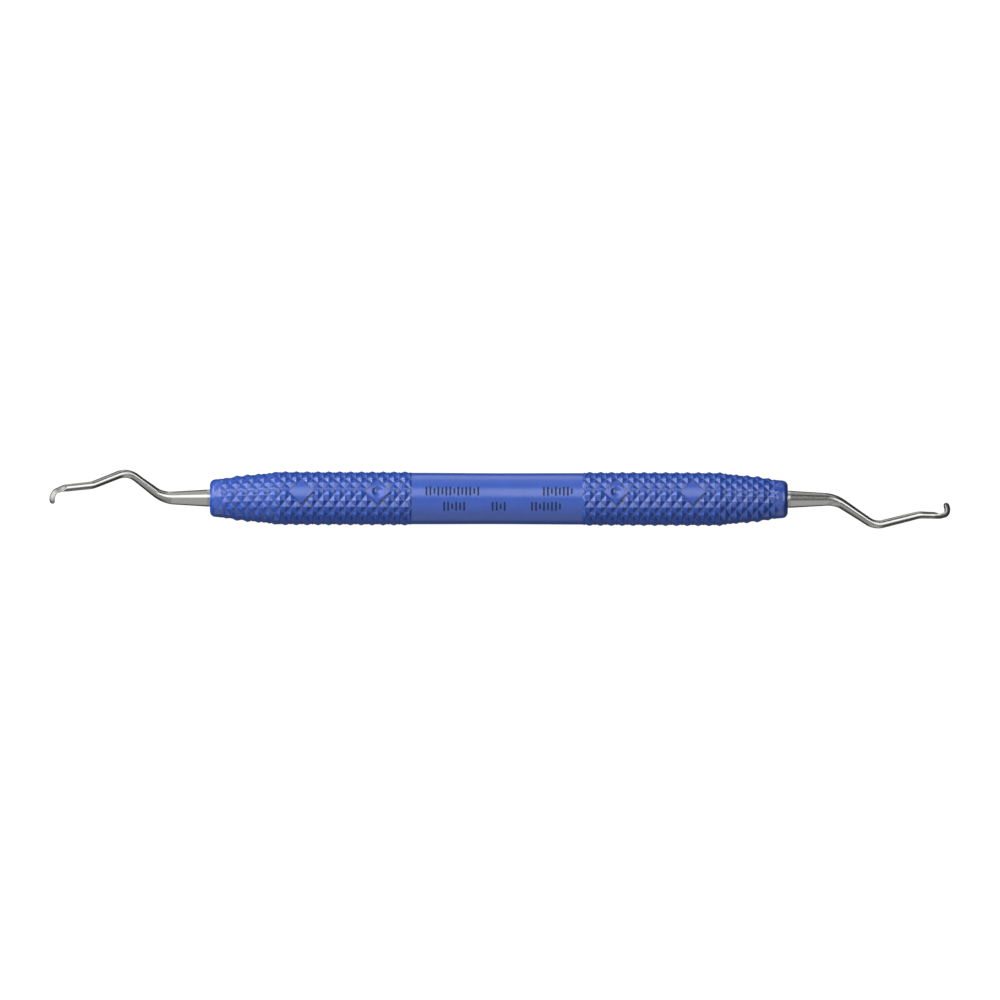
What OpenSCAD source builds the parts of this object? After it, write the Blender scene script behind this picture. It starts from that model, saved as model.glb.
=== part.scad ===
// Double-ended hand scaler: two bent steel tips bonded into a resin handle with two textured grips.
// The handle lies along X with the origin at the middle of its bare band, and +Z is up.
// The tips' main bends lie in the XY plane: the left tip rises toward +Y, the right one toward -Y.

/* [Handle] */
// Length of the bare band between the two grips
band_l = 31.75; // [30:0.25:34]
// Diameter of the bare band
band_d = 9.525; // [9.3:0.025:9.7]
// Distance from mid band to the left grip's end face
left_reach = 53.3; // [50:0.1:56]
// Distance from mid band to the right grip's end face
right_reach = 54; // [50:0.1:56]
// Diameter of the grips over the points of their pyramids
grip_d = 10.6; // [10.4:0.05:11]

/* [Grip texture] */
// Distance between two points of the same row, along the handle
point_pitch = 2.02; // [1.9:0.01:2.2]
// Distance from the pads' line to the first row of points, seen square on
first_row = 0.64; // [0.5:0.01:0.7]
// Distance between two rows of points, seen square on
row_pitch = 1.03; // [0.95:0.01:1.05]
// Height of the pyramids above the grooves on the straight part
pyramid_h = 0.45; // [0.3:0.05:0.5]
// Height of the pyramids on the tapered part
taper_pyramid_h = 0.35; // [0.2:0.05:0.4]
// Tilt of the pads' line from straight up, toward +Y
pad_tilt = 15.5; // [0:0.5:30]

/* [Grip pads] */
// Corner to corner size of the smooth diamond pads
pad_w = 4.75; // [4:0.05:5.5]
// Distance from mid band to the plain pads
plain_pad_x = 36.4; // [35:0.1:38]
// Distance from mid band to the dimpled pads
dimple_pad_x = 22.2; // [21:0.1:24]
// Diameter of the dimples
dimple_d = 2.1; // [1.8:0.1:2.4]
// Depth of the dimples
dimple_depth = 0.4; // [0.3:0.05:0.5]

/* [Handle core] */
// Diameter of the core under the straight part of the grips
seat_d = 7.8; // [7.4:0.1:8.2]
// Diameter of the core's two noses
nose_d = 5.4; // [5.2:0.1:5.6]
// Resin between each core nose and the grip's end face
nose_cover = 3; // [2.8:0.1:3.4]
// Depth of the two sockets, from the core's noses
socket_depth = 26; // [22:0.5:30]
// Thickness of the adhesive round the tips
bond_t = 0.15; // [0.1:0.05:0.2]

/* [Tips] */
// Diameter of the steel bar that the tips are made from
bar_d = 3.175; // [3:0.025:3.2]
// Length of the straight cone outside the handle
cone_l = 7; // [6.6:0.1:7.2]
// Diameter at the cone's small end
cone_end_d = 2.4; // [2.35:0.05:2.5]
// Height left of the round blade under its flat face, as a share of its radius past the centre
blade_flat = 0.45; // [0.3:0.05:0.6]

/* [Marking] */
// Width of each marking bar
bar_w = 0.32; // [0.25:0.01:0.36]
// Distance between two marking bars
bar_pitch = 0.74; // [0.7:0.01:0.8]
// Angle of the two rows of marking either side of straight up
row_angle = 17.5; // [16:0.5:19]

/* [Hidden] */

$fn = 96;
resin_blue = [0.24, 0.34, 0.72];
core_blue = [0.28, 0.38, 0.74];
steel = [0.72, 0.72, 0.70];
adhesive = [0.85, 0.80, 0.60];
ink = [0.10, 0.12, 0.18];
overlap = 0.5;

bar_r = bar_d / 2;
socket_r = bar_r + bond_t;
tang_gap = 0.3;

// Grip outline over the pyramid points: [distance from the end face, radius], straight part last
taper_l = 12.8;
grip_outline = [[0, 2.4], [0.1, 2.9], [0.4, 3.25], [0.9, 3.45], [1.6, 3.55], [2.4, 3.85], [4, 4.15],
                [6, 4.42], [8, 4.63], [10.8, 4.92], [taper_l, grip_d / 2]];
dome_l = 1.6;
pad_r = grip_d / 2 - 0.08;

// The texture is pressed straight down on each half of the grip, so its rows are evenly spaced when seen
// square on. It has five rows of points in each quarter and one narrow row on each quarter line.
rows_per_quarter = 5;
lines_per_quarter = rows_per_quarter + 1;
lines_round = 4 * lines_per_quarter;
narrow_row_share = 0.5;

// The core's taper, its retaining rings and the chamfer of its noses
core_taper_l = 10;
retainer_w = 1.2;
retainer_h = 0.35;
retainers = 3;
first_retainer_x = 3;
retainer_pitch = 5;
core_chamfer = 0.3;

// Grooves that key the adhesive to the tang
groove_w = 0.8;
groove_depth = 0.2;
grooves = 5;
groove_pitch = 4;

// Each tip's route outside the handle: [distance out, rise, depth, bend radius] at its corners.
// The first leg starts inside the cone, the fourth is the last straight stretch before the blade.
left_route = [[6, 0, 0, 0], [8.7, 0, 0, 6], [15.3, 4.95, 0, 3.4], [21.8, 2.35, 1.8, 4],
              [26.8, 1.8, 3.2, 2.2], [28.7, 1, 3.6, 1.1], [29.2, -0.1, 3.8, 1.6], [29, -1.1, 3.9, 0]];
right_route = [[6, 0, 0, 0], [8.8, 0, 0, 6], [16.2, 4.9, 0, 3.4], [24.4, 2.85, 1.8, 4],
               [28.2, 2.95, 3.1, 1.4], [29.5, 2.6, 3.5, 0.7], [29.6, 1.7, 3.6, 1.4], [29.25, 0.6, 3.7, 0]];
// Diameter of the steel by distance along its route
left_widths = [[0, cone_end_d], [1, cone_end_d - 0.03], [4, 1.8], [8, 1.52], [11.5, 1.5], [16, 1.45],
               [20, 1.38], [23.5, 1.34], [26, 1.1], [28, 0.98], [30, 0.85]];
right_widths = [[0, cone_end_d], [1, cone_end_d - 0.03], [4, 1.9], [8, 1.65], [12, 1.5], [18, 1.44],
                [22, 1.28], [24.5, 1.24], [26.5, 1.15], [28, 1], [30, 0.85]];
sides = 24;
turn_step = 8;
blade_l = 3;
heel_l = 1;
toe_l = 0.45;
toe_rings = 4;

// Marking bars: [row, first position along the handle, number of bars]
bar_groups = [[1, -13.1, 14], [1, 8.7, 8], [-1, -9.8, 6], [-1, -0.8, 4], [-1, 6.5, 8]];
bar_heights = [1.75, 1.75, 1.1, 1.75, 1.4];
bar_depth = 0.25;

// Unit vector along v
function unit(v) = v / norm(v);

// First three numbers of a route corner: its place
function place(c) = [c[0], c[1], c[2]];

// Points round a corner c of the given radius, on the way from p to n
function corner_points(p, c, n, radius) =
    let (u = unit(p - c))
    let (v = unit(n - c))
    let (half = acos(u * v) / 2)
    let (centre = c + unit(u + v) * radius / sin(half))
    let (a = c + u * radius / tan(half) - centre)
    let (b = c + v * radius / tan(half) - centre)
    let (turn = 180 - 2 * half)
    let (steps = ceil(turn / turn_step))
    [for (k = [0:steps])
        centre + (a * sin(turn * (1 - k / steps)) + b * sin(turn * k / steps)) / sin(turn)];

// A route's whole centre line, with its corners rounded
function centre_line(route) =
    let (last = len(route) - 1)
    concat(
        [place(route[0])],
        [for (i = [1:last - 1])
            each corner_points(place(route[i - 1]), place(route[i]), place(route[i + 1]), route[i][3])],
        [for (k = [1:toe_rings])
            let (leg = place(route[last]) - place(route[last - 1]))
            place(route[last]) - unit(leg) * toe_l * (1 - sin(90 * k / toe_rings))]);

// Distance along a line of points, at each point
function distances(line) =
    [for (i = 0, s = 0;
          i < len(line);
          i = i + 1, s = s + (i < len(line) ? norm(line[i] - line[i - 1]) : 0)) s];

// Direction of a line of points at point i
function heading(line, i) = unit(line[min(i + 1, len(line) - 1)] - line[max(i - 1, 0)]);

// Height of the grip's outline at a distance from its end face
function outline_r(d) = lookup(d, grip_outline);

// Angle from the pads' line of row k of a quarter, where row 0 is the narrow row on that line
function row_angle_in_quarter(k) = k == 0 ? 0 : asin((first_row + row_pitch * (k - 1)) / (grip_d / 2));

// Angle of texture line i from the pads' line; every second quarter is the mirror image of the first
function line_angle(i) =
    let (k = i % lines_per_quarter)
    let (quarter = floor(i / lines_per_quarter))
    quarter % 2 == 0 || k == 0
        ? 90 * quarter + row_angle_in_quarter(k)
        : 90 * (quarter + 1) - row_angle_in_quarter(lines_per_quarter - k);

// Radius of the texture at line i of ring j, where h is the pyramids' height there
function texture_r(i, j, r, h) =
    let (is_point = (i + j) % 2 == 1)
    let (share = i % lines_per_quarter == 0 ? narrow_row_share : 1)
    is_point ? r - h * (1 - share) : r - h;

// Solid of revolution about X from [distance along X, radius] points
module turned(points) {
    rotate([0, 90, 0])
        rotate_extrude()
            polygon([for (p = points) [p[1], p[0]]]);
}

// Turns what is made upright to an angle round the handle, from straight up toward +Y
module round_handle(angle) {
    rotate([-angle, 0, 0])
        children();
}

// Half of the handle core, from mid band to a nose
module core_half(reach) {
    nose_x = reach - nose_cover;
    seat_end = reach - taper_l - 1;
    turned([[0, 0], [0, band_d / 2], [band_l / 2, band_d / 2], [band_l / 2, seat_d / 2],
            [seat_end, seat_d / 2], [seat_end + core_taper_l, nose_d / 2],
            [nose_x - core_chamfer, nose_d / 2], [nose_x, nose_d / 2 - core_chamfer], [nose_x, 0]]);
    retainer_r = seat_d / 2 + retainer_h;
    for (k = [0:retainers - 1])
        translate([band_l / 2 + first_retainer_x + retainer_pitch * k, 0, 0])
            turned([[0, 0], [0, retainer_r], [retainer_w, retainer_r], [retainer_w, 0]]);
}

// The blind hole for a tip
module socket(reach) {
    translate([reach - nose_cover - socket_depth, 0, 0])
        rotate([0, 90, 0])
            cylinder(r = socket_r, h = socket_depth + overlap);
}

// Tang, with the grooves that hold it in the adhesive
module tang(reach) {
    start = reach - nose_cover - socket_depth + tang_gap;
    difference() {
        translate([start, 0, 0])
            rotate([0, 90, 0])
                cylinder(r = bar_r, h = reach - start + overlap);
        for (k = [1:grooves])
            translate([start + groove_pitch * k, 0, 0])
                turned([[0, bar_r - groove_depth], [0, bar_r + overlap], [groove_w, bar_r + overlap],
                        [groove_w, bar_r - groove_depth]]);
    }
}

// One textured grip, solid, from the band to the end face
module grip_body(reach) {
    straight = reach - band_l / 2 - dome_l;
    steps = round(straight / (point_pitch / 2));
    step = straight / steps;
    texture_rings = [for (j = [0:steps])
        let (d = reach - band_l / 2 - j * step)
        let (full = d > taper_l ? pyramid_h : taper_pyramid_h)
        [d, outline_r(d) - (j == 0 ? full : 0), j == 0 || j == steps ? 0 : full]];
    dome_rings = [for (k = [3:-1:0]) [grip_outline[k][0], grip_outline[k][1], 0]];
    rings = concat(texture_rings, dome_rings);
    points = [for (j = [0:len(rings) - 1]) for (i = [0:lines_round - 1])
        let (r = texture_r(i, j, rings[j][1], rings[j][2]))
        let (a = pad_tilt + line_angle(i))
        [reach - rings[j][0], r * sin(a), r * cos(a)]];
    last = lines_round * (len(rings) - 1);
    sides_faces = [for (j = [0:len(rings) - 2]) for (i = [0:lines_round - 1])
        let (a = j * lines_round + i)
        let (b = j * lines_round + (i + 1) % lines_round)
        let (c = b + lines_round)
        let (d = a + lines_round)
        each (i + j) % 2 == 1 ? [[a, b, d], [b, c, d]] : [[a, b, c], [a, c, d]]];
    ends = [[for (i = [lines_round - 1:-1:0]) i], [for (i = [0:lines_round - 1]) last + i]];
    polyhedron(points = points, faces = concat(sides_faces, ends), convexity = 6);
}

// Smooth diamond pad that stands in the texture
module pad(x) {
    intersection() {
        round_handle(pad_tilt)
            translate([x, 0, seat_d / 2 + overlap])
                rotate([0, 0, 45])
                    linear_extrude(pad_r)
                        square(pad_w / sqrt(2), center = true);
        translate([x - pad_w, 0, 0])
            rotate([0, 90, 0])
                cylinder(r = pad_r, h = 2 * pad_w);
    }
}

// Round dimple sunk in a pad
module dimple(x) {
    ball_r = (dimple_d * dimple_d / 4 + dimple_depth * dimple_depth) / (2 * dimple_depth);
    round_handle(pad_tilt)
        translate([x, 0, pad_r - dimple_depth + ball_r])
            sphere(ball_r);
}

module grip(reach) {
    color(resin_blue)
        difference() {
            union() {
                grip_body(reach);
                pad(plain_pad_x);
                pad(dimple_pad_x);
            }
            core_half(reach);
            dimple(dimple_pad_x);
            translate([reach - nose_cover - overlap, 0, 0])
                rotate([0, 90, 0])
                    cylinder(r = bar_r, h = nose_cover + 2 * overlap);
        }
}

// Bent part of a tip: round steel that thins along its route and ends in a flat-faced blade
module shank(route, widths) {
    line = centre_line(route);
    s = distances(line);
    count = len(line);
    total = s[count - 1];
    last = len(route) - 1;
    side = unit(cross(place(route[3] - route[2]), place(route[last] - route[last - 1])));
    points = [for (i = [0:count - 1])
        let (t = heading(line, i))
        let (inner = unit(cross(side, t)))
        let (to_toe = total - s[i])
        let (toe_share = to_toe < toe_l ? sqrt(max(0.02, 1 - pow(1 - to_toe / toe_l, 2))) : 1)
        let (r = lookup(s[i], widths) / 2 * toe_share)
        let (along_heel = (s[i] - total + blade_l + heel_l) / heel_l)
        let (flat = 1 - (1 - blade_flat) * min(1, max(0, along_heel)))
        for (k = [0:sides - 1])
            let (a = 360 * k / sides)
            line[i] + inner * min(r * cos(a), r * flat) + cross(t, inner) * r * sin(a)];
    end = sides * (count - 1);
    walls = [for (i = [0:count - 2]) for (k = [0:sides - 1])
        let (a = i * sides + k)
        let (b = i * sides + (k + 1) % sides)
        each [[a, a + sides, b + sides], [a, b + sides, b]]];
    ends = [[for (k = [0:sides - 1]) k], [for (k = [sides - 1:-1:0]) end + k]];
    polyhedron(points = points, faces = concat(walls, ends), convexity = 6);
}

module tip(reach, route, widths) {
    color(steel) {
        tang(reach);
        translate([reach + overlap, 0, 0])
            rotate([0, 90, 0])
                cylinder(r1 = bar_r, r2 = cone_end_d / 2, h = cone_l - overlap);
        translate([reach, 0, 0])
            shank(route, widths);
    }
}

// Adhesive that fills the socket round the tang
module bond(reach) {
    color(adhesive)
        difference() {
            translate([reach - nose_cover - socket_depth, 0, 0])
                rotate([0, 90, 0])
                    cylinder(r = socket_r, h = socket_depth);
            tang(reach);
        }
}

// All marking bars, cut to the band's round surface
module bars() {
    intersection() {
        for (g = bar_groups)
            for (k = [0:g[2] - 1])
                round_handle(g[0] * row_angle)
                    translate([g[1] + bar_pitch * k, 0, band_d / 2])
                        cube([bar_w, bar_heights[k % len(bar_heights)], 2 * bar_depth], center = true);
        translate([-band_l / 2, 0, 0])
            rotate([0, 90, 0])
                cylinder(d = band_d, h = band_l);
    }
}

module handle_core() {
    color(core_blue)
        difference() {
            union() {
                core_half(right_reach);
                mirror([1, 0, 0])
                    core_half(left_reach);
            }
            socket(right_reach);
            mirror([1, 0, 0])
                socket(left_reach);
            bars();
        }
}

module left_grip() {
    mirror([1, 0, 0])
        grip(left_reach);
}

module right_grip() {
    grip(right_reach);
}

module left_tip() {
    mirror([1, 0, 0])
        tip(left_reach, left_route, left_widths);
}

module right_tip() {
    rotate([180, 0, 0])
        tip(right_reach, right_route, right_widths);
}

module left_bond() {
    mirror([1, 0, 0])
        bond(left_reach);
}

module right_bond() {
    bond(right_reach);
}

module marking() {
    color(ink)
        bars();
}

handle_core();
left_grip();
right_grip();
left_tip();
right_tip();
left_bond();
right_bond();
marking();
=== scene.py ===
# %% [markdown]
# # A double-ended hand scaler
# The real tool is a resin rod with a moulded, textured grip on each half and a bent steel tip bonded into
# each end. The imported model already says where everything sits, so this lesson only makes surfaces: each
# one is laid out as a grid of points worked out in millimetres, turned into a mesh, and given a finish.
# Loading the frame first also notes its box, which places the floor.

# %% Load the frame
import math
import bmesh
import bpy
import numpy as np
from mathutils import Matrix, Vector


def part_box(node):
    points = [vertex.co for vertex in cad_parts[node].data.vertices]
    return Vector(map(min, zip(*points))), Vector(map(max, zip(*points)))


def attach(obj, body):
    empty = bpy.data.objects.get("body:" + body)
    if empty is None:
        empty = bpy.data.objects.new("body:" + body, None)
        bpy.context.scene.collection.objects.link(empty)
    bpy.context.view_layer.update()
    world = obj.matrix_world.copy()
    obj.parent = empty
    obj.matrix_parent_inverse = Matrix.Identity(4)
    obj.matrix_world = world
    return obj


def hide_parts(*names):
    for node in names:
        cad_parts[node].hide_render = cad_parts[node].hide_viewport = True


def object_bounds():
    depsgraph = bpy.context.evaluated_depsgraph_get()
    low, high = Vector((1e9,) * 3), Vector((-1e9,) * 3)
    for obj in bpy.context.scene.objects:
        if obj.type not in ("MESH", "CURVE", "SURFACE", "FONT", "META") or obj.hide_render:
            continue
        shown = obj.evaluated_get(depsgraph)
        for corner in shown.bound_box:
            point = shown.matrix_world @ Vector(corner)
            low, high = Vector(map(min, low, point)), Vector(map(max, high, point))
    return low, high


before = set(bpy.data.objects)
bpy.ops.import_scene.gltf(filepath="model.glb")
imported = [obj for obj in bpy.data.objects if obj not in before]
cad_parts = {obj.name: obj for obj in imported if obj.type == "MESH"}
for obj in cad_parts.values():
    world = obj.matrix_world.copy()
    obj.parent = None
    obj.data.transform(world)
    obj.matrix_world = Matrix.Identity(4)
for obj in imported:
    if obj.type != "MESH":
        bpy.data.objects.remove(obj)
cad_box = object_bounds()
MM = 0.001


def box_mm(node):
    """Lowest and highest corner of a CAD node, in millimetres."""
    low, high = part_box(node)
    return np.array(low) / MM, np.array(high) / MM


core_low, core_high = box_mm("handle_core")
left_low, left_high = box_mm("left_grip")
right_high = box_mm("right_grip")[1]
bond_low, bond_high = box_mm("left_bond")
tip_low = box_mm("left_tip")[0]

# Distances from mid band out to the grips' end faces and to the ends of the core.
band_half = -left_high[0]
reach = {"left": -left_low[0], "right": right_high[0]}
nose = {"left": -core_low[0], "right": core_high[0]}
# Radii of the bare band, of the grips over their points, and of the steel bar.
band_r = core_high[1]
grip_r = right_high[1]
bar_r = -tip_low[2]
# The blind socket that holds a tip's tang and its adhesive.
socket_r = bond_high[1]
socket_l = bond_high[0] - bond_low[0]
print(f"band {2 * band_half:.2f} long, grips reach {reach['left']:.1f} and {reach['right']:.1f}, in mm")

# %% [markdown]
# ## From a grid of points to a mesh
# Every piece of this tool is a tube of some kind, so one helper can make them all: it takes rings of
# points, joins each ring to the next, and closes the last ring onto the first where the skin turns back
# inside, as a sleeve does. A revolve or screw modifier could do the plain ones, but not the texture.

# %% Mesh helper


def smoothstep(low, high, value):
    """0 below low, 1 above high, an easy curve between."""
    share = np.clip((value - low) / (high - low), 0, 1)
    return share * share * (3 - 2 * share)


def tube(name, *skins, loop=False, sharp_angle=None, attributes=None):
    """One mesh from one or more skins. A skin is a stack of rings of points in millimetres, closed round
    each ring. With loop the last ring joins the first, and without it the two ends are capped.
    attributes maps a name to one number per point."""
    faces = []
    start = 0
    for rings in skins:
        count, around = rings.shape[:2]
        index = np.arange(count * around).reshape(count, around) + start
        start += count * around
        here = index if loop else index[:-1]
        there = np.roll(index, -1, axis=0) if loop else index[1:]
        quads = np.stack([here, there, np.roll(there, -1, axis=1), np.roll(here, -1, axis=1)], axis=-1)
        faces.extend(quads.reshape(-1, 4).tolist())
        if not loop:
            faces.append(index[0].tolist())
            faces.append(index[-1][::-1].tolist())
    points = np.concatenate([rings.reshape(-1, 3) for rings in skins]) * MM
    mesh = bpy.data.meshes.new(name)
    mesh.from_pydata(points.tolist(), [], faces)
    mesh.polygons.foreach_set("use_smooth", [True] * len(mesh.polygons))
    if sharp_angle:
        mesh.set_sharp_from_angle(angle=math.radians(sharp_angle))
    for key, values in (attributes or {}).items():
        layer = mesh.attributes.new(key, "FLOAT", "POINT")
        layer.data.foreach_set("value", np.asarray(values, dtype=np.float32).ravel())
    mesh.update()
    check = bmesh.new()
    check.from_mesh(mesh)
    volume = check.calc_volume(signed=True) / MM**3
    open_edges = sum(not edge.is_manifold for edge in check.edges)
    check.free()
    piece = bpy.data.objects.new(name, mesh)
    bpy.context.collection.objects.link(piece)
    print(f"{name}: {len(mesh.polygons)} faces, {volume:.1f} cubic mm, {open_edges} open edges")
    return piece


def polar(x, radius, angle):
    """Points at x along the handle, out from its axis at an angle from straight up toward +Y."""
    x, radius, angle = np.broadcast_arrays(x, radius, angle)
    return np.stack([x, radius * np.sin(angle), radius * np.cos(angle)], axis=-1)


def finish_piece(piece, slot, *nodes):
    """Makes a piece ride on the tool's one body, in place of its CAD nodes."""
    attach(piece, "root")
    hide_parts(*nodes)
    print(f"{piece.name} stands for", *nodes)


# %% [markdown]
# ## The grip's outline
# Each grip is straight from the band to about 13 mm from its end, then tapers in an easy curve to a
# smooth rounded collar. The outline is the height over the points of the texture. It could be drawn as
# a Bezier curve, but a few readings joined by straight runs and one corner arc are just as true here.

# %% Grip outline
taper_l = 12.8
collar_l = 1.35
corner_r = 1.05
face_r = 2.45
taper = [(corner_r, 3.5), (1.6, 3.58), (2.4, 3.84), (4, 4.15), (6, 4.42), (8, 4.63), (10, 4.82),
         (11, 4.93), (taper_l, grip_r)]


def read_off(places, pairs):
    """Values at places along a line, read off a few pairs of place and value joined by straight runs."""
    return np.interp(places, *zip(*pairs))


def grip_outline(d):
    """Radius over the texture's points, at distance d from the end face."""
    corner = face_r + np.sqrt(np.clip(corner_r**2 - (corner_r - np.clip(d, 0, corner_r)) ** 2, 0, None))
    return np.where(d < corner_r, corner, read_off(d, taper))


print(f"collar {2 * face_r:.2f} at its face, grip {2 * grip_r:.2f} across, in mm")

# %% [markdown]
# ## The pyramid texture
# The grips are moulded in two halves, and the texture was cut square on into each half of the mould. So
# the pyramids are square and even when a half is seen from straight above its middle, and they stretch
# round the sides. Working in that flat view makes the pattern one short formula: two staggered sets of
# diamonds are the positive and the negative half of the same wave.

# %% Texture height
pad_tilt = math.radians(15.5)
point_pitch = 2.015
first_point = {"left": 17.12, "right": 17.22}
first_row = 0.64
row_pitch = 1.14
pyramid_h = 0.45
taper_pyramid_h = 0.38
blunt_top = 0.05
blunt_slope = 0.45


def fold(value):
    """Distance to the nearest whole number."""
    return np.abs(value - np.round(value))


def pyramids(side, along, across):
    """Height from 0 in the grooves to 1 on the points, at a distance along the handle and a flat distance
    across from the middle of the mould half."""
    along_wave = fold((along - first_point[side]) / point_pitch)
    across_wave = fold((across - first_row) / (2 * row_pitch))
    height = np.abs(1 - 2 * (along_wave + across_wave))
    blunt_from = 1 - blunt_top
    return np.where(height > blunt_from, blunt_from + (height - blunt_from) * blunt_slope, height)


print(f"pyramids {point_pitch:.3f} by {2 * row_pitch:.2f} across and {pyramid_h:.2f} high, in mm")

# %% [markdown]
# ## Pads and dimples
# Two smooth diamond pads stand in the texture of each grip, one of them with a round dimple. Their edges
# must be crisp, and a grid that runs past them at random would leave a saw edge. So the points nearest to
# an edge are slid onto it: one line of points to the rim of the pad, the next to the foot of its wall.

# %% Pads on the grid
pad_half = 2.4
pad_drop = 0.05
plain_pad_x = 36.35
dimple_pad_x = 22.15
moat_w = 0.24
dimple_r = 1.02
dimple_depth = 0.5
rim_reach = 0.075
foot_reach = 0.17
foot_gap = 0.035
hair = 0.001
# The texture grows out of the collar between these distances from the grip's end.
texture_from = collar_l - 0.2
texture_full = collar_l + 1.9
# Close to the parting line, past this share of the radius in the flat view, the pyramids lose most of
# their height.
parting_from = 0.92
parting_loss = 0.7
# How proud the finish takes a pad and the rim of a dimple to be, and the shape of the bowl.
pad_rise = 0.75
dimple_rise = 0.6
bowl_power = 0.8
print(f"pads {2 * pad_half:.1f} from corner to corner, dimples {2 * dimple_r:.2f} across, in mm")


def pad_edge(along, across, pad_x):
    """Distance inside the pad's edge, in the flat view. It is negative outside."""
    return (pad_half - np.abs(along - pad_x) - np.abs(across)) / math.sqrt(2)


def snap_to_pads(along, across):
    """Slides the points beside a pad's edge onto its rim or onto the foot of its wall."""
    for pad_x in (plain_pad_x, dimple_pad_x):
        inside = pad_edge(along, across, pad_x)
        slide = np.where((inside >= 0) & (inside < rim_reach), inside, 0)
        slide = np.where((inside < 0) & (inside > -foot_reach), inside + foot_gap, slide)
        along = along + slide * np.sign(along - pad_x) / math.sqrt(2)
        across = across + slide * np.sign(across) / math.sqrt(2)
    return along, across


def grip_radius(side, along, across, share_round, front):
    """Radius of the grip's skin, and how proud of the grooves it stands from 0 to 1. The finish paints
    shade where that is low.
    """
    d = reach[side] - along
    outline = grip_outline(d)
    full = np.where(d > taper_l, pyramid_h, taper_pyramid_h)
    drafted = full * (1 - parting_loss * smoothstep(parting_from, 1.0, share_round))
    textured = smoothstep(texture_from, texture_full, d)
    height = pyramids(side, along, across)
    # The rise steers painted shade: the finish paints the grooves, the moats round the pads and the middle
    # of each dimple darker.
    rise = height
    radius = outline - textured * drafted * (1 - height) - textured * (full - drafted)
    for pad_x in (plain_pad_x, dimple_pad_x):
        inside = np.where(front, pad_edge(along, across, pad_x), -pad_half)
        moat = 1 - smoothstep(foot_gap, moat_w, -inside)
        in_moat = (inside < -hair) & (moat > 0)
        radius = np.where(in_moat, radius - moat * full * height, radius)
        rise = np.where(in_moat, rise * (1 - moat), rise)
        on_pad = inside > -hair
        radius = np.where(on_pad, outline - pad_drop, radius)
        rise = np.where(on_pad, pad_rise, rise)
    from_dimple = np.hypot(along - dimple_pad_x, across)
    bowl = np.clip(1 - (from_dimple / dimple_r) ** 2, 0, 1) ** bowl_power
    radius = np.where(front, radius - dimple_depth * bowl, radius)
    rise = np.where(front & (from_dimple < dimple_r), dimple_rise - 0.5 * bowl, rise)
    return radius, rise


# %% [markdown]
# ## The grips
# A grip is one skin that starts at the band, runs out over the texture and round the collar, meets the
# steel, and comes back inside along the core. The points round it are laid on the rows of the texture and
# on even steps between them, so that ridges and grooves run through points and stay sharp.

# %% Grip meshes
steps_per_cell = 8
rows_in_quarter = 4
seat_r = 3.9
seat_end = {side: reach[side] - taper_l - 1 for side in reach}
nose_r = 2.7
nose_l = 0.8
mouth_slope = 0.55
mouth_proud = 0.04
# The lip of the bore: how deep inside the end face, and how much wider than the steel it is there.
lip = [(0, 0.25), (0.04, 0.02), (0.5, 0)]


def quarter_angles():
    """Angles of the grid's lines over one quarter, from mid mould half to the parting line."""
    rows = [0] + [first_row + row_pitch * k for k in range(rows_in_quarter)]
    lines = [np.linspace(a, b, steps_per_cell, endpoint=False) for a, b in zip(rows[:-1], rows[1:])]
    angles = np.arcsin(np.concatenate(lines) / grip_r)
    last = math.asin(rows[-1] / grip_r)
    to_parting = np.linspace(last, math.pi / 2, 3 * steps_per_cell, endpoint=False)
    return np.concatenate([angles, to_parting])


def grip_angles():
    """Angles of the grid's lines all the way round, from the middle of the front half."""
    quarter = quarter_angles()
    half = np.concatenate([quarter, [math.pi / 2], math.pi - quarter[:0:-1]])
    return np.concatenate([half, half + math.pi])


def grip_stations(side):
    """Distances from mid band of the grid's rings, finer where the collar turns in."""
    step = point_pitch / (2 * steps_per_cell)
    first = first_point[side] - step * math.floor((first_point[side] - band_half) / step)
    body = np.arange(first, reach[side] - collar_l, step)
    collar = reach[side] - collar_l * (1 - np.sin(np.linspace(0.08, 1, 14) * math.pi / 2)) ** 1.3
    return np.concatenate([[band_half], body[body > band_half + 0.01], collar])


def make_grip(side):
    """The skin of one grip."""
    toward = -1 if side == "left" else 1
    angles = grip_angles()
    along, theta = np.meshgrid(grip_stations(side), angles, indexing="ij")
    base = grip_outline(reach[side] - along)
    front = np.cos(theta) > 0
    across = base * np.sin(theta)
    moved_along, moved_across = snap_to_pads(along, across)
    along = np.where(front, moved_along, along)
    across = np.where(front, moved_across, across)
    shift = np.where(front, np.arcsin(np.clip(across / base, -1, 1)) - np.arcsin(np.sin(theta)), 0)
    share_round = np.abs(np.sin(theta))
    radius, rise = grip_radius(side, along, np.abs(across), share_round, front)
    radius = np.minimum(radius, band_r + mouth_proud + mouth_slope * (along - band_half))
    outside = polar(toward * along, radius, pad_tilt + theta + shift)
    end = reach[side]
    bore = [(end - deep, bar_r + wide) for deep, wide in lip]
    bore += [(nose[side], bar_r), (nose[side], nose_r), (nose[side] - nose_l, nose_r),
             (seat_end[side], seat_r), (band_half + 0.01, seat_r), (band_half, seat_r + 0.02)]
    inside = np.stack([polar(toward * x, r, pad_tilt + angles) for x, r in bore])
    rings = np.concatenate([outside, inside])
    rise = np.concatenate([rise, np.full((len(bore), len(angles)), 0.5)])
    if toward < 0:
        rings = rings[:, ::-1]
        rise = rise[:, ::-1]
    return tube(side + "_grip_skin", rings, loop=True, sharp_angle=33, attributes={"rise": rise})


grips = {side: make_grip(side) for side in ("left", "right")}

# %% [markdown]
# ## The core and its bare band
# The core is a moulded rod. Only its middle shows, and it is a hair thinner half way along, where the
# resin shrank as it cooled. The rest is the seat inside each grip and the blind hole for each tip. It is
# a plain turned shape, so its rings are circles.

# %% Core mesh
waist = 0.05
band_over = 0.02
core_sides = 192
nose_chamfer = 0.3


def band_surface(x):
    """Radius of the bare band, with its slight waist."""
    return band_r + band_over - waist * np.cos(math.pi / 2 * x / band_half) ** 2


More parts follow.
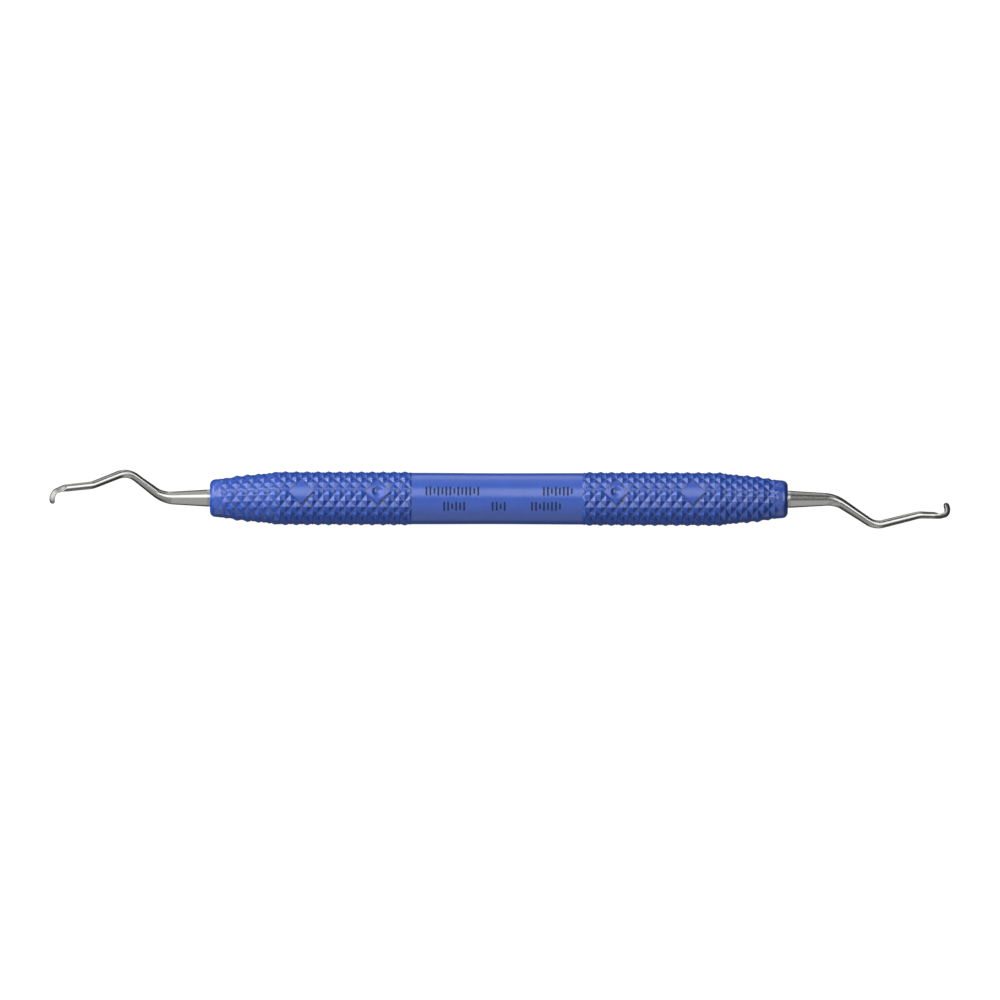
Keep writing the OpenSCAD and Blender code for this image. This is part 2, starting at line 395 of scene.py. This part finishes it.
def core_end(side):
    """Points from the band's edge out over the seat and the nose, and back in to the socket's bottom."""
    end = nose[side]
    return [(band_half, seat_r), (seat_end[side], seat_r), (end - nose_l, nose_r),
            (end - nose_chamfer, nose_r), (end, nose_r - nose_chamfer), (end, socket_r),
            (end - socket_l, socket_r)]


def core_profile():
    """Points along the core, from one socket's bottom round the outside to the other's."""
    left = [(-x, r) for x, r in reversed(core_end("left"))]
    band = [(x, band_surface(x)) for x in np.linspace(-band_half, band_half, 61)]
    return left + band + core_end("right")


round_angles = np.linspace(0, 2 * math.pi, core_sides, endpoint=False)
core = tube("core_rod", np.stack([polar(x, r, round_angles) for x, r in core_profile()]), sharp_angle=30)

# %% [markdown]
# ## The marking
# The band carries two rows of dark marking. Here it is plain bars, in the same places and of the same
# weight. Ink stands a hair proud of the resin, so each bar is a thin plate with round corners that
# follows the band, and all of them are joined into one mesh.

# %% Marking mesh
row_angle = math.radians(17.5)
bar_w = 0.32
bar_pitch = 0.74
bar_corner = 0.1
ink_proud = 0.012
ink_below = 0.15
# Each group: which row, above or below the middle, then its first bar's x and its count of bars.
bar_groups = [(1, -13.1, 14), (1, 8.7, 8), (-1, -9.8, 6), (-1, -0.8, 4), (-1, 6.5, 8)]
bar_heights = [1.75, 1.75, 1.1, 1.75, 1.4]


def bar_rings(x, angle, height):
    """Rings of four points that step round the handle, narrower at the two ends of the bar."""
    corner = bar_corner * (1 - np.cos(np.linspace(0, math.pi / 2, 5)))
    straight = np.linspace(bar_corner, height - bar_corner, 12)[1:-1]
    up = np.concatenate([corner, straight, height - corner[::-1]])
    past = np.clip(bar_corner - np.minimum(up, height - up), 0, bar_corner)
    half = bar_w / 2 - bar_corner + np.sqrt(bar_corner**2 - past**2)
    at = angle + (up - height / 2) / band_r
    left, right = x - half, x + half
    corners = [(left, -ink_below), (right, -ink_below), (right, ink_proud), (left, ink_proud)]
    return np.stack([polar(edge, band_surface(edge) + over, at) for edge, over in corners], axis=1)


def make_marking():
    """All the bars as one piece."""
    bars = [bar_rings(first_x + bar_pitch * k, row * row_angle, bar_heights[k % len(bar_heights)])
            for row, first_x, count in bar_groups for k in range(count)]
    return tube("marking_bars", *bars, sharp_angle=30)


marking = make_marking()

# %% [markdown]
# ## The route of a tip
# A tip starts as straight bar. It is turned to a cone, bent three times, and hooked over at the end for
# the blade. The bends are what make the tool, so the route is a list of corners with a bend radius each,
# and arcs are fitted into the corners. A Bezier curve would be quicker to draw but would have no true
# radius anywhere.

# %% Tip routes
# Each corner: distance out from the handle's face, sideways, in depth, and the radius of the bend there.
left_route = [(0, 0, 0, 0), (8.7, 0, 0, 6), (15.3, 4.95, 0, 3.4), (21.8, 2.35, 1.8, 4),
              (26.8, 1.8, 3.2, 2.2), (28.7, 1, 3.6, 1.1), (29.2, -0.1, 3.8, 1.6), (29, -1.1, 3.9, 0)]
right_route = [(0, 0, 0, 0), (8.8, 0, 0, 6), (16.2, 4.9, 0, 3.4), (24.4, 2.85, 1.8, 4),
               (28.2, 2.95, 3.1, 1.4), (29.5, 2.6, 3.5, 0.7), (29.6, 1.7, 3.6, 1.4), (29.25, 0.6, 3.7, 0)]
route_step = 0.14
toe_l = 0.5
print(f"left tip sticks out {left_route[-1][0]} mm, right tip {right_route[-1][0]} mm")


def unit(vector):
    """The vector made one long."""
    return vector / np.linalg.norm(vector)


def rounded_route(route):
    """Closely spaced points along a route whose corners are rounded to their bend radius."""
    corners = [np.array(c[:3], dtype=float) for c in route]
    points = [corners[0]]
    for before, here, after, (_, _, _, radius) in zip(corners, corners[1:], corners[2:], route[1:]):
        back, on = unit(before - here), unit(after - here)
        half = math.acos(float(back @ on)) / 2
        centre = here + unit(back + on) * radius / math.sin(half)
        a = here + back * radius / math.tan(half) - centre
        b = here + on * radius / math.tan(half) - centre
        turn = math.pi - 2 * half
        for share in np.linspace(0, 1, max(4, math.ceil(turn * radius / route_step))):
            swung = a * math.sin(turn * (1 - share)) + b * math.sin(turn * share)
            points.append(centre + swung / math.sin(turn))
    points.append(corners[-1])
    points = np.array(points)
    lengths = np.concatenate([[0], np.cumsum(np.linalg.norm(np.diff(points, axis=0), axis=1))])
    total = lengths[-1]
    body = np.linspace(0, total - toe_l, math.ceil(total / route_step), endpoint=False)
    toe = total - toe_l * (1 - np.sin(np.linspace(0, math.pi / 2, 14)))
    stations = np.concatenate([body, toe])
    return stations, np.stack([np.interp(stations, lengths, points[:, k]) for k in range(3)], axis=1)


# %% [markdown]
# ## The section of a tip
# Round steel thins along the route. At the heel the inner side is ground to a flat face that meets the
# rounded back in two cutting edges. The ring of points keeps its count all the way, so the same points
# that lie on the round shank slide over to the face and to the two edges.

# %% Tip meshes
# Pairs of distance along the steel and its diameter there.
left_widths = [(0, 2 * bar_r), (0.5, 2 * bar_r), (7, 2.4), (10, 1.8), (14, 1.52), (17.5, 1.5), (22, 1.45),
               (26, 1.38), (29.5, 1.36), (32, 1.28), (34, 1.05)]
right_widths = [(0, 2 * bar_r), (0.5, 2 * bar_r), (7, 2.4), (10, 1.9), (14, 1.65), (18, 1.5), (24, 1.44),
                (28, 1.28), (30.5, 1.3), (32.5, 1.36), (34, 1.1)]
tang_l = 28.5
face_points = 17
back_points = 56
face_span = math.radians(47)
blade_l = 3.0
heel_l = 1.6
toe_end = 0.02
face_height = 0.45
back_power = 1.7


def round_section():
    """Directions of the ring's points on a circle, the face's points first."""
    face = np.linspace(-face_span, face_span, face_points)
    back = np.linspace(face_span, 2 * math.pi - face_span, back_points + 2)[1:-1]
    angle = np.concatenate([face, back])
    return np.stack([np.cos(angle), np.sin(angle)], axis=1)


def blade_section():
    """The same points on a blade: a flat face, and a back that draws in behind the edges."""
    face = np.stack([np.full(face_points, face_height), np.linspace(-1, 1, face_points)], axis=1)
    sweep = np.linspace(0, math.pi, back_points + 2)[1:-1]
    across = np.sign(np.cos(sweep)) * np.abs(np.cos(sweep)) ** (2 / back_power)
    deep = face_height - (1 + face_height) * np.sin(sweep) ** (2 / back_power)
    return np.concatenate([face, np.stack([deep, across], axis=1)])


def make_tip(side, route, widths):
    """One tip: the tang inside the handle, the cone, the bent shank and the blade."""
    s, line = rounded_route(route)
    total = s[-1]
    heading = np.gradient(line, s, axis=0)
    heading /= np.linalg.norm(heading, axis=1, keepdims=True)
    corners = [np.array(c[:3], dtype=float) for c in route]
    across = unit(np.cross(corners[3] - corners[2], corners[-1] - corners[-2]))
    inner = np.cross(across, heading)
    inner /= np.linalg.norm(inner, axis=1, keepdims=True)
    beside = np.cross(heading, inner)
    to_toe = np.clip((total - s) / toe_l, 0, 1)
    toe = np.sqrt(np.clip(1 - (1 - to_toe) ** 2, toe_end**2, 1))
    half = read_off(s, widths) / 2 * toe
    ground = smoothstep(total - blade_l - heel_l, total - blade_l, s)[:, None, None]
    flat = round_section()[None] * (1 - ground) + blade_section()[None] * ground
    rings = (line[:, None] + inner[:, None] * (flat[..., 0] * half[:, None])[..., None]
             + beside[:, None] * (flat[..., 1] * half[:, None])[..., None])
    hidden = np.linspace(tang_l, 0.2, 24)
    rings = np.concatenate([np.stack([rings[0] - np.array([x, 0, 0]) for x in hidden]), rings])
    along = np.concatenate([-hidden, s])
    along = np.repeat(along[:, None], rings.shape[1], axis=1)
    out = np.array([reach[side], 0, 0])
    turn = np.array([-1, 1, 1]) if side == "left" else np.array([1, -1, -1])
    rings = (rings + out) * turn
    if side == "right":
        rings = rings[:, ::-1]
    angle = np.broadcast_to(np.linspace(0, 2 * math.pi, rings.shape[1], endpoint=False), along.shape)
    return tube(side + "_tip_steel", rings, sharp_angle=32,
                attributes={"along": along, "round_x": np.cos(angle), "round_y": np.sin(angle)})


tips = {"left": make_tip("left", left_route, left_widths),
        "right": make_tip("right", right_route, right_widths)}

# %% [markdown]
# ## Finishes, and arithmetic on sockets
# A finish is a small sum: this colour, a little darker in the grooves, a little rougher on the points.
# Written as nodes the sum is hard to read, so a thin wrapper lets ordinary Python operators add the Math
# nodes. Everything else comes from one method that makes a node, sets it and plugs it in.

# %% Shader helpers


class Wire:
    """One output socket. Arithmetic on it adds Math nodes to its finish."""

    def __init__(self, finish, socket):
        self.finish = finish
        self.socket = socket

    def math(self, operation, a, b):
        """One Math node on two values or wires."""
        return self.finish.node("ShaderNodeMath", {"operation": operation}, {0: a, 1: b})

    def __add__(self, other):
        return self.math("ADD", self, other)

    __radd__ = __add__

    def __mul__(self, other):
        return self.math("MULTIPLY", self, other)

    __rmul__ = __mul__

    def __sub__(self, other):
        return self.math("SUBTRACT", self, other)

    def __rsub__(self, other):
        return self.math("SUBTRACT", other, self)


class Finish:
    """The node tree of a material, or of the world."""

    def __init__(self, owner):
        self.owner = owner
        owner.use_nodes = True
        self.tree = owner.node_tree
        self.tree.nodes.clear()

    def node(self, kind, settings=None, inputs=None, out=0):
        """Adds a node, sets it up, fills its sockets with values or wires, and returns one output."""
        made = self.tree.nodes.new(kind)
        for key, value in (settings or {}).items():
            setattr(made, key, value)
        for key, value in (inputs or {}).items():
            if isinstance(value, Wire):
                self.tree.links.new(value.socket, made.inputs[key])
            else:
                made.inputs[key].default_value = value
        return Wire(self, made.outputs[out]) if len(made.outputs) else None

    def mix(self, share, a, b):
        """A colour between a and b."""
        return self.node("ShaderNodeMix", {"data_type": "RGBA"}, {0: share, 6: a, 7: b}, out=2)

    def noise(self, scale, detail=2, where=None, roughness=0.5):
        """Smooth noise, with scale in features per metre."""
        place = where or self.node("ShaderNodeTexCoord", out="Object")
        return self.node("ShaderNodeTexNoise", None,
                         {"Vector": place, "Scale": scale, "Detail": detail, "Roughness": roughness})

    def ramp(self, value, low, high):
        """0 to 1 as value goes from low to high."""
        return self.node("ShaderNodeMapRange", {"interpolation_type": "SMOOTHSTEP"},
                         {"Value": value, "From Min": low, "From Max": high})

    def bump(self, height, depth):
        """A normal bent by a height, where depth is in metres."""
        return self.node("ShaderNodeBump", None, {"Height": height, "Distance": depth, "Strength": 1.0})

    def larger(self, a, b):
        """The larger of two values."""
        return self.node("ShaderNodeMath", {"operation": "MAXIMUM"}, {0: a, 1: b})

    def surface(self, inputs):
        """Ends the finish in a Principled shader."""
        shader = self.node("ShaderNodeBsdfPrincipled", None, inputs)
        self.node("ShaderNodeOutputMaterial", None, {"Surface": shader})
        return self.owner


# %% [markdown]
# ## Blue resin
# The grips and the core are the same dyed resin: a saturated royal blue under a clear, slightly waxy
# skin. The grooves of the texture, the moats round the pads and the dimples are painted darker as painted
# shade, so the points of the texture look paler than the grooves. Handling dulls the points first. The
# mould leaves a very fine orange peel, which is what breaks up the gloss.

# %% Resin finish
deep_blue = (0.013, 0.058, 0.32, 1)
pale_blue = (0.018, 0.068, 0.36, 1)
# The colour of the painted shade in the grooves, the moats round the pads and the dimples.
painted_groove_shade = (0.007, 0.032, 0.21, 1)
worn_blue = (0.10, 0.17, 0.56, 1)


def resin(name, textured):
    """Moulded blue resin. The textured kind reads how proud each point of the skin stands, paints shade
    where it stands low and lightens the worn points.
    """
    f = Finish(bpy.data.materials.new(name))
    cloud = f.ramp(f.noise(260, 3), 0.3, 0.7)
    colour = f.mix(cloud * 0.55 + 0.15, deep_blue, pale_blue)
    peel = f.noise(5200, 3, roughness=0.6)
    rough = 0.20 + 0.10 * f.noise(900, 4)
    if textured:
        rise = f.node("ShaderNodeAttribute", {"attribute_name": "rise"}, out="Fac")
        # Painted shade: where the skin stands low, in the grooves, the moats and the dimples, the colour
        # darkens.
        colour = f.mix((1 - f.ramp(rise, 0.0, 0.35)) * 0.75, colour, painted_groove_shade)
        wear = f.ramp(rise + 0.25 * f.noise(1500, 3), 0.95, 1.15)
        colour = f.mix(wear * 0.35, colour, worn_blue)
        rough = rough + 0.12 * wear
    return f.surface({"Base Color": colour, "Roughness": rough, "IOR": 1.58, "Specular IOR Level": 1.0,
                      "Coat Weight": 0.7, "Coat IOR": 1.6, "Coat Roughness": 0.2,
                      "Normal": f.bump(peel, 0.000012)})


grip_resin = resin("blue_grip_resin", textured=True)
core_resin = resin("blue_core_resin", textured=False)
for side in grips:
    grips[side].data.materials.append(grip_resin)
core.data.materials.append(core_resin)
for finish in (grip_resin, core_resin):
    print(finish.name, "has", len(finish.node_tree.nodes), "nodes")

# %% [markdown]
# ## Steel
# The tips are ground and polished along their length, which leaves a faint grain that runs with the
# shank through every bend. The mesh carries the distance along the steel and the place round it, so the
# grain is noise stretched along that direction and not along the world. The blade is sharpened on a stone
# after the polish, so the last few millimetres are a little darker and duller.

# %% Steel finish
stoned_from = 28.5
stoned_fully = 31.0
dark_steel = (0.64, 0.64, 0.63, 1)
light_steel = (0.74, 0.74, 0.72, 1)
stoned_steel = (0.36, 0.36, 0.35, 1)


def steel():
    """Polished stainless steel with a grain along the shank and a duller, stoned blade."""
    f = Finish(bpy.data.materials.new("polished_steel"))
    along = f.node("ShaderNodeAttribute", {"attribute_name": "along"}, out="Fac")
    round_x = f.node("ShaderNodeAttribute", {"attribute_name": "round_x"}, out="Fac")
    round_y = f.node("ShaderNodeAttribute", {"attribute_name": "round_y"}, out="Fac")
    place = f.node("ShaderNodeCombineXYZ", None, {"X": along * 0.025, "Y": round_x, "Z": round_y})
    grain = f.noise(22, 4, where=place, roughness=0.65)
    haze = f.noise(420, 3)
    stoned = f.ramp(along, stoned_from, stoned_fully)
    colour = f.mix(grain, dark_steel, light_steel)
    colour = f.mix(stoned * 0.6, colour, stoned_steel)
    rough = 0.13 + 0.08 * grain + 0.04 * haze + 0.14 * stoned
    return f.surface({"Base Color": colour, "Metallic": 1.0, "Roughness": rough,
                      "Normal": f.bump(grain, 0.000002)})


tip_steel = steel()
for side in tips:
    tips[side].data.materials.append(tip_steel)
print("steel on", len(tips), "tips")

# %% [markdown]
# ## Ink and adhesive
# The marking is flat dark ink: rough, and a little uneven where it was wiped. The adhesive is a clear
# amber film in the sockets. It hardly shows, but it is a real layer, so its CAD nodes stay in the scene
# and only get a finish.

# %% Ink and adhesive finishes
dark_ink = (0.004, 0.010, 0.030, 1)
thin_ink = (0.012, 0.024, 0.070, 1)
deep_amber = (0.55, 0.42, 0.16, 1)
pale_amber = (0.78, 0.66, 0.36, 1)


def ink():
    """Flat dark ink with a slightly uneven coat."""
    f = Finish(bpy.data.materials.new("dark_ink"))
    coat = f.noise(3500, 3)
    colour = f.mix(coat, dark_ink, thin_ink)
    return f.surface({"Base Color": colour, "Roughness": 0.45 + 0.2 * coat,
                      "Normal": f.bump(coat, 0.00001)})


def adhesive():
    """Clear amber adhesive."""
    f = Finish(bpy.data.materials.new("amber_adhesive"))
    cloud = f.noise(700, 2)
    colour = f.mix(cloud, deep_amber, pale_amber)
    return f.surface({"Base Color": colour, "Roughness": 0.2 + 0.15 * cloud,
                      "Normal": f.bump(cloud, 0.00002)})


marking.data.materials.append(ink())
tip_adhesive = adhesive()
for node in ("left_bond", "right_bond"):
    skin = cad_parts[node].data
    skin.materials.clear()
    skin.materials.append(tip_adhesive)
    print(node, "has", skin.materials[0].name)

# %% [markdown]
# ## Every piece rides on the frame
# The tool has no moving parts, so all of it belongs to one body. Each new skin stands for its CAD node.

# %% Ride and replace
for side in ("left", "right"):
    finish_piece(grips[side], "grip_resin", side + "_grip")
    finish_piece(tips[side], "tip_steel", side + "_tip")
finish_piece(core, "core_resin", "handle_core")
finish_piece(marking, "marking_ink", "marking")

# %% [markdown]
# ## The floor
# A tool like this is shown on plain white. The floor is pale and lights itself, so that the tool hardly
# throws a shadow. A white plane under studio lamps would do too, but its shadow would grey the outline of
# the thin tips. The floor is left out of reflections: dark surroundings low down are what draw the thin
# dark outline round polished steel.

# %% Floor
floor_z = float(cad_box[0][2])
floor_gap = 0.00005


def make_plane(name, centre, width, height):
    """A flat rectangle in metres that faces straight up."""
    mesh = bpy.data.meshes.new(name)
    w, h = width / 2, height / 2
    mesh.from_pydata([(-w, -h, 0), (w, -h, 0), (w, h, 0), (-w, h, 0)], [], [(0, 1, 2, 3)])
    plane = bpy.data.objects.new(name, mesh)
    bpy.context.collection.objects.link(plane)
    plane.location = centre
    return plane


def floor_finish():
    """Pale and self-lit, with hardly any tone of its own."""
    f = Finish(bpy.data.materials.new("pale_floor"))
    tone = f.mix(f.noise(3, 2), (0.05, 0.05, 0.05, 1), (0.06, 0.06, 0.06, 1))
    return f.surface({"Base Color": tone, "Roughness": 0.9, "Specular IOR Level": 0.1,
                      "Emission Color": (1, 1, 1, 1), "Emission Strength": 1.0})


floor = make_plane("floor", (0, 0, floor_z - floor_gap), 6, 6)
floor.data.materials.append(floor_finish())
floor.visible_glossy = False
floor.visible_diffuse = False
print(f"floor at {floor_z / MM:.2f} mm")

# %% [markdown]
# ## Two lamps for the shading
# A broad lamp low on the left shades the pyramids: their left faces turn bright and their right faces
# dark, which is what makes the texture read. A weaker one in front keeps the lower half of the handle
# blue. They light only the matt part of each finish, and what the shiny part shows comes from the room
# below, because a lamp's own reflection would be a hard white square on the steel.

# %% Lamps


def softbox(name, direction, distance, size, power):
    """A square area lamp that faces the tool from a direction. Reflections don't show it."""
    data = bpy.data.lights.new(name, "AREA")
    data.shape = "SQUARE"
    data.size = size
    data.energy = power
    lamp = bpy.data.objects.new(name, data)
    bpy.context.collection.objects.link(lamp)
    lamp.location = Vector(direction).normalized() * distance
    lamp.rotation_euler = (-lamp.location).to_track_quat("-Z", "Y").to_euler()
    lamp.visible_glossy = False
    print(f"{name} lamp: {power} W at {distance} m")


softbox("key", direction=(-0.68, 0.56, 0.50), distance=0.8, size=0.22, power=10.0)
softbox("front_fill", direction=(-0.50, -0.72, 0.48), distance=0.8, size=0.25, power=3.4)

# %% [markdown]
# ## The room that the steel reflects
# Polished steel has no look of its own: it shows the room. On a round bar each strip of the surface shows
# one direction, so light and dark patches in the room become stripes along the bar. An image of a studio
# would do, but here the world's shader paints panels and a black card by direction, so each stripe can be
# placed. Two numbers give a direction: how far it lies to the right, from -1 to 1, and how many degrees
# it has turned from overhead toward the back.

# %% Directions in the room
bpy.context.scene.world = bpy.data.worlds.new("studio")
room = Finish(bpy.context.scene.world)
facing = room.node("ShaderNodeTexCoord")
split = room.tree.nodes.new("ShaderNodeSeparateXYZ")
room.tree.links.new(facing.socket, split.inputs[0])
to_right, to_back, upward = (Wire(room, socket) for socket in split.outputs)
turned = room.node("ShaderNodeMath", {"operation": "ARCTAN2"}, {0: to_back, 1: upward})
turned = room.node("ShaderNodeMath", {"operation": "DEGREES"}, {0: turned})
print(len(room.tree.nodes), "nodes measure a direction")


def between(value, low, high, soft):
    """1 where value lies between low and high, fading over a soft edge."""
    return room.ramp(value, low - soft, low + soft) * (1 - room.ramp(value, high - soft, high + soft))


# %% Panels and black card
above = between(turned, -116, 108, 14)
overhead = room.ramp(upward, 0.50, 0.75)
middle = 1 - room.ramp(to_right * to_right, 0.06, 0.24) * (1 - overhead)
left_wall = between(to_right, -0.97, -0.34, 0.10)
left_cone = between(to_right, -0.20, -0.07, 0.04)
right_cone = between(to_right, 0.07, 0.20, 0.04)
right_bends = between(to_right, 0.29, 0.75, 0.05)
band_only = between(to_right, -0.06, 0.06, 0.05)

# A wide soft panel over the tool, brighter toward the back, and a faint glow from below.
glow = (0.39 * above + 0.18 * between(turned, 30, 92, 10)) * (0.10 + 0.90 * middle)
glow = glow + 0.08 * (1 - room.ramp(upward, -0.6, -0.2))

# Brightness and shape of each panel: the stripe along the handle, the thin light on the band's far edge,
# the two cones, the bends of the right tip, and three on the left wall for the pyramids and left bends.
panels = [(2.2, between(turned, 9, 48, 9) * middle),
          (1.4, between(turned, 93, 126, 9) * band_only),
          (0.70, left_cone * above),
          (0.72, right_cone * between(turned, -112, -20, 8)),
          (2.0, right_bends * between(turned, -12, 80, 12) * overhead),
          (1.7, left_wall * between(turned, 4, 85, 16)),
          (2.0, left_wall * between(turned, 34, 90, 9)),
          (0.42, left_wall * between(turned, -72, -34, 9))]
for brightness, shape in panels:
    glow = room.larger(glow, brightness * shape)

# A black card keeps the upper half of the right cone dark.
card = between(to_right, 0.035, 0.28, 0.035) * between(turned, -8, 75, 8)
glow = glow * (1 - 0.95 * card)
print(len(panels), "panels and a card")

# %% [markdown]
# ## Who sees which room
# The room has three faces. Reflections see the panels. Matt surfaces see an even haze from above, so that
# the panels don't tint them twice. The camera sees a plain pale backdrop past the edge of the floor. The
# Light Path node tells the three apart, which a single background can't.

# %% Three faces of the room
haze = 0.06 + 0.32 * room.ramp(upward, -0.1, 1.0)
reflections = room.node("ShaderNodeBackground", None, {"Strength": glow})
ambient = room.node("ShaderNodeBackground", None, {"Strength": haze})
backdrop = room.node("ShaderNodeBackground", None, {"Color": (0.95, 0.95, 0.95, 1)})
from_camera = room.node("ShaderNodeLightPath", out="Is Camera Ray")
from_matt = room.node("ShaderNodeLightPath", out="Is Diffuse Ray")
lit = room.node("ShaderNodeMixShader", None, {0: from_matt, 1: reflections, 2: ambient})
shown = room.node("ShaderNodeMixShader", None, {0: from_camera, 1: lit, 2: backdrop})
room.node("ShaderNodeOutputWorld", None, {"Surface": shown})
print(len(room.tree.nodes), "nodes paint the room")

# %% [markdown]
# ## The camera
# The tool is seen from straight above its marked side. The camera stands far off with a long lens, so
# that both ends are seen as squarely as the middle. An orthographic camera would do as well. A long lens
# is how such a picture is really taken, and a lens and a distance are easy to reason about.

# %% Camera
view_w = 0.1857
camera_h = 5.0
sensor = 36.0
# The aim is a little off the middle of the tool, and the camera is rolled a trace.
aim_x = 0.00056
aim_y = -0.00024
roll = math.radians(0.12)
camera_data = bpy.data.cameras.new("camera")
camera_data.sensor_width = sensor
camera_data.lens = sensor * camera_h / view_w
camera = bpy.data.objects.new("camera", camera_data)
bpy.context.collection.objects.link(camera)
camera.location = (aim_x, aim_y, camera_h)
camera.rotation_euler = (0, 0, roll)
bpy.context.scene.camera = camera
bpy.context.scene.view_settings.view_transform = "Standard"
print(f"lens {camera_data.lens:.0f} mm at {camera_h} m")
